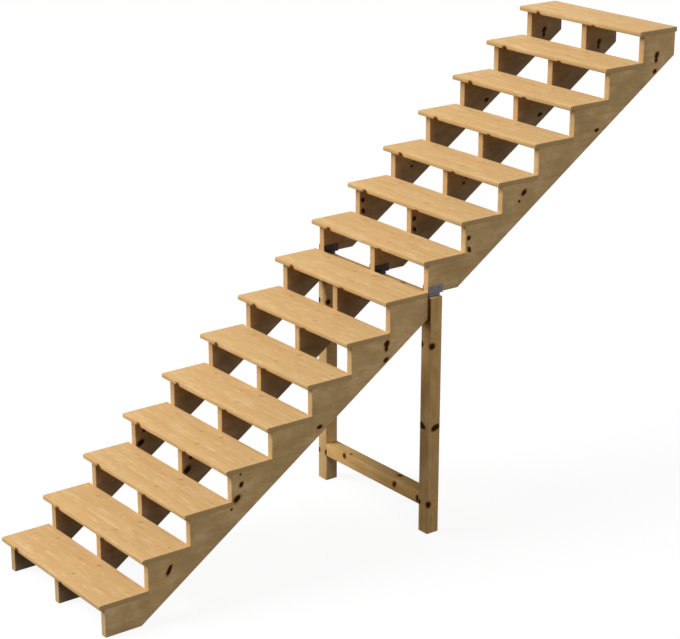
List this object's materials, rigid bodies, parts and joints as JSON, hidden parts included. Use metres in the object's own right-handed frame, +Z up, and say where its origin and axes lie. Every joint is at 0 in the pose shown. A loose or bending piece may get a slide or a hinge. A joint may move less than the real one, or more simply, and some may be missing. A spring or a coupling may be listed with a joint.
{
  "type": "outdoor wooden staircase",
  "caption": "Straight outdoor timber stair with open risers: plain board treads on notched stringers in two flights, with a post-and-beam trestle at the joint.",
  "frame": {"origin": "ground level, in the middle of the stair's plan", "axes": "+Y up the stair, +X to the right when climbing, +Z up"},
  "size_m": [1.027, 3.856, 2.618],
  "materials": {
    "timber": "planed softwood, clear oiled",
    "steel": "dull galvanised"
  },
  "bodies": {
    "root": {"tread_1": "timber", "tread_2": "timber", "tread_3": "timber", "tread_4": "timber", "tread_5": "timber", "tread_6": "timber", "tread_7": "timber", "tread_8": "timber", "tread_9": "timber", "tread_10": "timber", "tread_11": "timber", "tread_12": "timber", "tread_13": "timber", "tread_14": "timber", "tread_15": "timber", "lower_left_stringer": "timber", "lower_middle_stringer": "timber", "lower_right_stringer": "timber", "upper_left_stringer": "timber", "upper_middle_stringer": "timber", "upper_right_stringer": "timber", "left_post": "timber", "right_post": "timber", "low_rail": "timber", "head_beam": "timber", "left_saddle": "steel", "middle_saddle": "steel", "right_saddle": "steel"}
  },
  "joints": []
}
